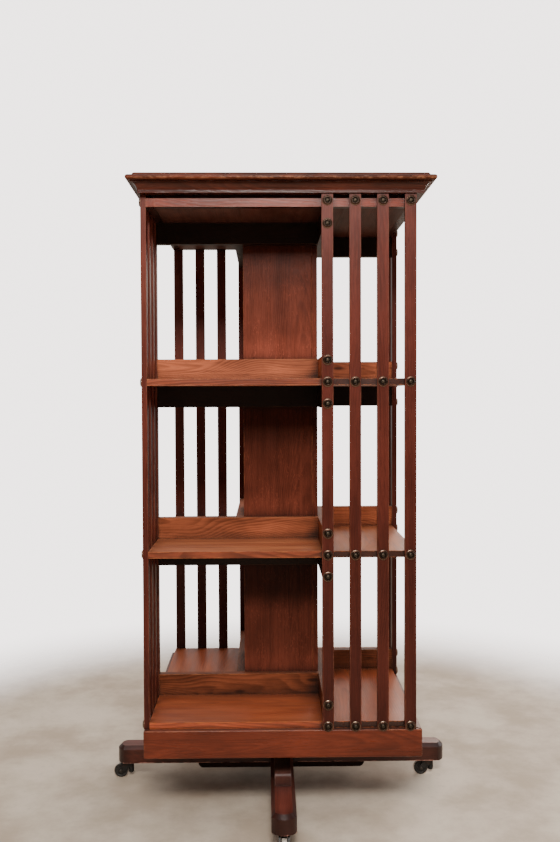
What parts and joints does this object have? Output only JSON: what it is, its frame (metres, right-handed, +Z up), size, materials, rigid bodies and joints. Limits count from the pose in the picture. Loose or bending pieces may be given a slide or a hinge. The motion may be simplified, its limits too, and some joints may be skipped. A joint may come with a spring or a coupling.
{
  "type": "revolving bookcase",
  "caption": "Square revolving bookcase of dark red-brown oak: slatted open sides, stacked book tiers round a central column, moulded top, crossed foot on casters.",
  "frame": {"origin": "on the floor, on the spindle axis", "axes": "+Z up along the spindle; +X towards the right-hand foot, -Y towards the front foot"},
  "size_m": [0.6489, 0.658, 1.1245],
  "materials": {
    "foot_oak": "dark red-brown stained oak, worn varnish",
    "under_oak": "near-black stained oak",
    "apron_oak": "red-brown oak, satin varnish",
    "shelf_oak": "red-brown oak, satin varnish, worn front edges",
    "stop_oak": "lighter figured oak, satin varnish",
    "column_oak": "red-brown oak with fine flecks, satin varnish",
    "slat_oak": "red-brown oak, satin varnish",
    "top_oak": "red-brown oak, satin varnish, worn along the nosing",
    "cornice_oak": "dark red-brown oak, satin varnish",
    "inner_oak": "oak, thinly varnished",
    "steel": "turned, lightly oiled",
    "screw_steel": "dark oxidised steel",
    "iron": "black japanned iron",
    "wheel_iron": "black iron with a worn tread",
    "bronze": "dark bronzed brass, worn bright on its rims",
    "bush_brass": "plain turned brass"
  },
  "bodies": {
    "base": {"foot_bar_wide": "foot_oak", "foot_bar_deep": "foot_oak", "bearer_wide": "foot_oak", "bearer_deep": "foot_oak", "under_doubler": "under_oak", "spindle_flange": "iron", "spindle": "steel", "base_screws": "screw_steel", "caster_plates": "iron", "caster_pins": "steel"},
    "case": {"apron_front": "apron_oak", "apron_right": "apron_oak", "apron_back": "apron_oak", "apron_left": "apron_oak", "corner_blocks": "inner_oak", "under_rail_wide": "inner_oak", "under_rail_deep": "inner_oak", "guide_bush": "bush_brass", "case_screws": "screw_steel", "bottom_shelf": "shelf_oak", "lower_shelf": "shelf_oak", "upper_shelf": "shelf_oak", "book_stops_front": "stop_oak", "book_stops_right": "stop_oak", "book_stops_back": "stop_oak", "book_stops_left": "stop_oak", "column_front": "column_oak", "column_right": "column_oak", "column_back": "column_oak", "column_left": "column_oak", "slats_front": "slat_oak", "slats_right": "slat_oak", "slats_back": "slat_oak", "slats_left": "slat_oak", "frieze_front": "top_oak", "frieze_right": "top_oak", "frieze_back": "top_oak", "frieze_left": "top_oak", "carcase_top": "inner_oak", "top_socket": "iron", "cornice_front": "cornice_oak", "cornice_right": "cornice_oak", "cornice_back": "cornice_oak", "cornice_left": "cornice_oak", "top_board": "top_oak", "button_washers": "bronze", "button_screws": "bronze"},
    "left_fork": {"left_caster_fork": "iron", "left_caster_axle": "steel"},
    "left_wheel": {"left_caster_wheel": "wheel_iron"},
    "right_fork": {"right_caster_fork": "iron", "right_caster_axle": "steel"},
    "right_wheel": {"right_caster_wheel": "wheel_iron"},
    "front_fork": {"front_caster_fork": "iron", "front_caster_axle": "steel"},
    "front_wheel": {"front_caster_wheel": "wheel_iron"},
    "back_fork": {"back_caster_fork": "iron", "back_caster_axle": "steel"},
    "back_wheel": {"back_caster_wheel": "wheel_iron"}
  },
  "joints": [
    {"name": "case_turn", "type": "hinge", "parent": "base", "child": "case", "pos_m": [0, 0, 0.0895], "axis": [0, 0, 1], "continuous": true},
    {"name": "left_caster_swivel", "type": "hinge", "parent": "base", "child": "left_fork", "pos_m": [-0.296, 0, 0.0315], "axis": [0, 0, 1], "continuous": true},
    {"name": "left_wheel_spin", "type": "hinge", "parent": "left_fork", "child": "left_wheel", "pos_m": [-0.3155, 0, 0.0135], "axis": [0, 1, 0], "continuous": true},
    {"name": "right_caster_swivel", "type": "hinge", "parent": "base", "child": "right_fork", "pos_m": [0.296, 0, 0.0315], "axis": [0, 0, 1], "continuous": true},
    {"name": "right_wheel_spin", "type": "hinge", "parent": "right_fork", "child": "right_wheel", "pos_m": [0.2765, 0, 0.0135], "axis": [0, 1, 0], "continuous": true},
    {"name": "front_caster_swivel", "type": "hinge", "parent": "base", "child": "front_fork", "pos_m": [0, -0.296, 0.0315], "axis": [0, 0, 1], "continuous": true},
    {"name": "front_wheel_spin", "type": "hinge", "parent": "front_fork", "child": "front_wheel", "pos_m": [0, -0.3155, 0.0135], "axis": [1, 0, 0], "continuous": true},
    {"name": "back_caster_swivel", "type": "hinge", "parent": "base", "child": "back_fork", "pos_m": [0, 0.296, 0.0315], "axis": [0, 0, 1], "continuous": true},
    {"name": "back_wheel_spin", "type": "hinge", "parent": "back_fork", "child": "back_wheel", "pos_m": [0, 0.3155, 0.0135], "axis": [1, 0, 0], "continuous": true}
  ]
}
